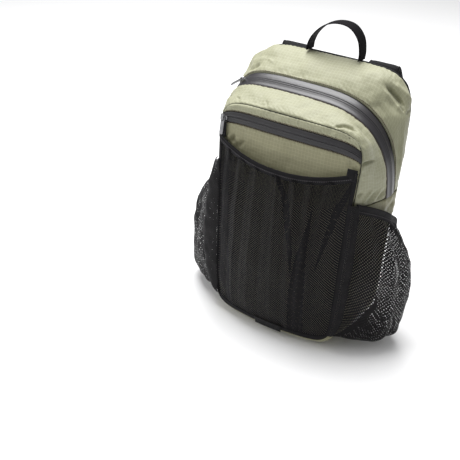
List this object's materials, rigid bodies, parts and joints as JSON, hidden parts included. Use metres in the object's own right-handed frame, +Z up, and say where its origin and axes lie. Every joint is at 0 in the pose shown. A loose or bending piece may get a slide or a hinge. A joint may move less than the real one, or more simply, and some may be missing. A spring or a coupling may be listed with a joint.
{
  "type": "packable backpack",
  "caption": "Light packable daypack with an arched main zip, a zipped front pocket, mesh front and side pockets, a haul loop and padded shoulder straps.",
  "frame": {"origin": "on the floor under the middle of the bag, which stands on its flat bottom", "axes": "+Z up to the haul loop, -Y to the front with the mesh pocket, +X to the bag's right as seen from the front"},
  "size_m": [0.4079, 0.2207, 0.4918],
  "materials": {
    "ripstop_cloth": "thin coated ripstop cloth, pale sage olive, satin",
    "back_cloth": "padded black cloth, matte",
    "zip_tape": "coated zip tape, near black, satin",
    "mesh_net": "open knitted net, black",
    "binding_tape": "folded woven binding, black",
    "label_cloth": "plain woven label, black",
    "webbing": "flat woven webbing, black",
    "black_plastic": "moulded plastic, matte black",
    "zip_metal": "bright silver metal"
  },
  "bodies": {
    "bag": {"back_panel": "back_cloth", "bottom_panel": "ripstop_cloth", "front_label": "label_cloth", "front_mesh_pocket": "mesh_net", "front_panel_lower": "ripstop_cloth", "front_panel_upper": "ripstop_cloth", "front_pocket_binding": "binding_tape", "front_shell_left": "ripstop_cloth", "front_shell_right": "ripstop_cloth", "front_shell_top": "ripstop_cloth", "haul_loop": "webbing", "lower_side_left": "ripstop_cloth", "lower_side_right": "ripstop_cloth", "main_slider": "zip_metal", "main_zip_left": "zip_tape", "main_zip_right": "zip_tape", "main_zip_top": "zip_tape", "pocket_slider": "zip_metal", "pocket_zip": "zip_tape", "rear_shell_left": "ripstop_cloth", "rear_shell_right": "ripstop_cloth", "rear_shell_top": "ripstop_cloth", "shoulder_strap_left": "back_cloth", "shoulder_strap_right": "back_cloth", "side_binding_left": "binding_tape", "side_binding_right": "binding_tape", "side_mesh_left_back_high": "mesh_net", "side_mesh_left_back_low": "mesh_net", "side_mesh_left_front_high": "mesh_net", "side_mesh_left_front_low": "mesh_net", "side_mesh_left_middle_high": "mesh_net", "side_mesh_left_middle_low": "mesh_net", "side_mesh_right_back_high": "mesh_net", "side_mesh_right_back_low": "mesh_net", "side_mesh_right_front_high": "mesh_net", "side_mesh_right_front_low": "mesh_net", "side_mesh_right_middle_high": "mesh_net", "side_mesh_right_middle_low": "mesh_net", "strap_adjuster_left": "black_plastic", "strap_adjuster_right": "black_plastic", "strap_webbing_left": "webbing", "strap_webbing_right": "webbing"},
    "main_pull": {"main_pull": "zip_metal"},
    "pocket_pull": {"pocket_pull": "zip_metal"}
  },
  "joints": [
    {"name": "main_pull_hinge", "type": "hinge", "parent": "bag", "child": "main_pull", "pos_m": [-0.12314, -0.00011, 0.39122], "axis": [-0.1643, 0.9233, 0.3472], "range_deg": [0, 150]},
    {"name": "pocket_pull_hinge", "type": "hinge", "parent": "bag", "child": "pocket_pull", "pos_m": [-0.11507, -0.06347, 0.34714], "axis": [-1, 0, 0], "range_deg": [0, 150]}
  ]
}
